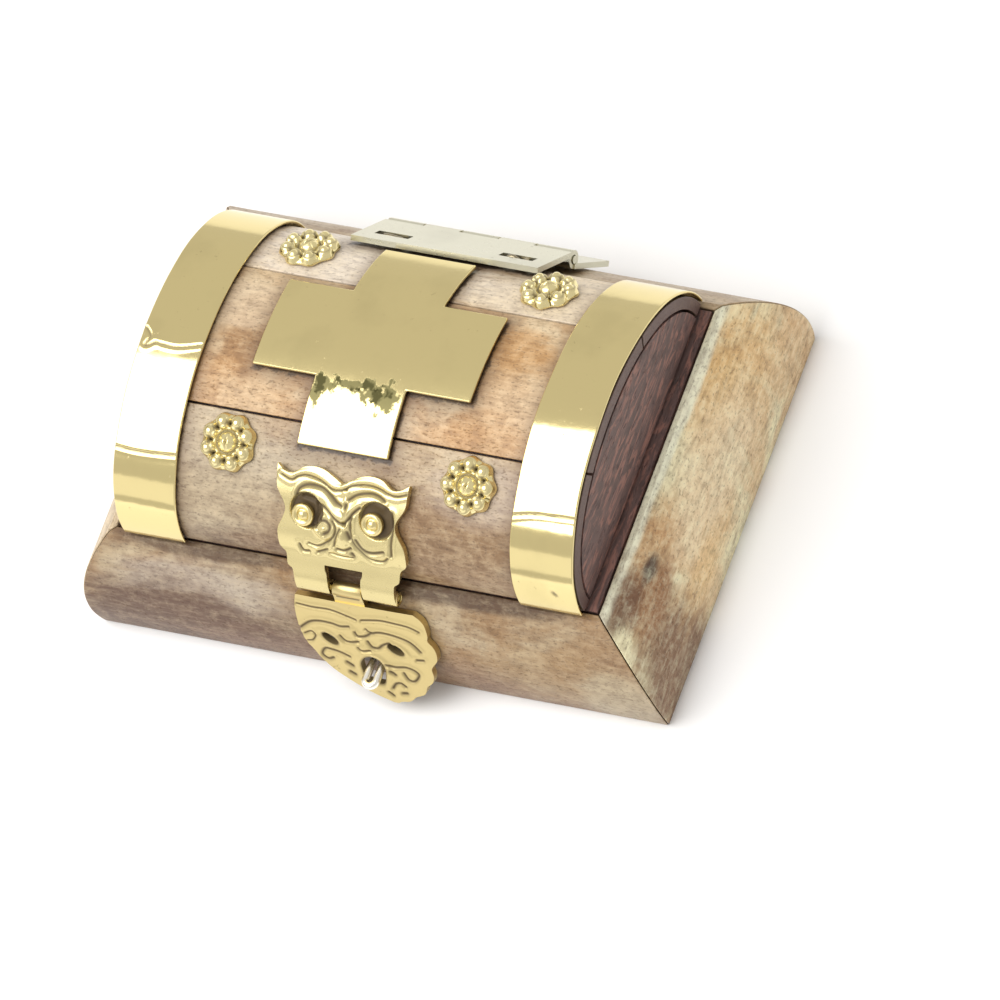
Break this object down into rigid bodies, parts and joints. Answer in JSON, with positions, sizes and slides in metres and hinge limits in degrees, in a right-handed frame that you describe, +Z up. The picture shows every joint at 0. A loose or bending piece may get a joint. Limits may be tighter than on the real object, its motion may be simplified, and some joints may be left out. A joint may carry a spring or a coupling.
{
  "type": "incense box",
  "caption": "Small bone-faced box with convex mitred sides and a hinged barrel lid, fitted with brass bands, a cross, rosettes, and a front hasp of an owl plate and a mask flap.",
  "frame": {"origin": "under the middle of the tray, on the plane the box rests on", "axes": "+Z up, the hasp's side towards -Y, the box's length along X"},
  "size_m": [0.0774, 0.0591, 0.0303],
  "materials": {
    "wood": "matte",
    "stained_bone": "satin",
    "pale_bone": "satin",
    "brass": "polished"
  },
  "bodies": {
    "base": {"tray": "wood", "moulding_front": "stained_bone", "moulding_right": "stained_bone", "moulding_back": "stained_bone", "moulding_left": "stained_bone", "staple": "brass", "hinge_leaf_base": "brass", "hinge_pin": "brass"},
    "lid": {"lid_shell": "wood", "bone_plate_front": "stained_bone", "bone_plate_top": "stained_bone", "bone_plate_back": "pale_bone", "band_left": "brass", "band_right": "brass", "cross": "brass", "rosette_front_left": "brass", "rosette_front_right": "brass", "rosette_back_left": "brass", "rosette_back_right": "brass", "owl_plate": "brass", "owl_eye_left": "brass", "owl_eye_right": "brass", "hasp_pin": "brass", "hinge_leaf_lid": "brass", "hinge_brad_left": "brass", "hinge_brad_right": "brass"},
    "hasp": {"hasp_flap": "brass"}
  },
  "joints": [
    {"name": "lid_hinge", "type": "hinge", "parent": "base", "child": "lid", "pos_m": [0, 0.0237, 0.0165], "axis": [-1, 0, 0], "range_deg": [0, 110]},
    {"name": "hasp_hinge", "type": "hinge", "parent": "lid", "child": "hasp", "pos_m": [0, -0.0233, 0.0159], "axis": [-1, 0, 0], "range_deg": [0, 120]}
  ]
}
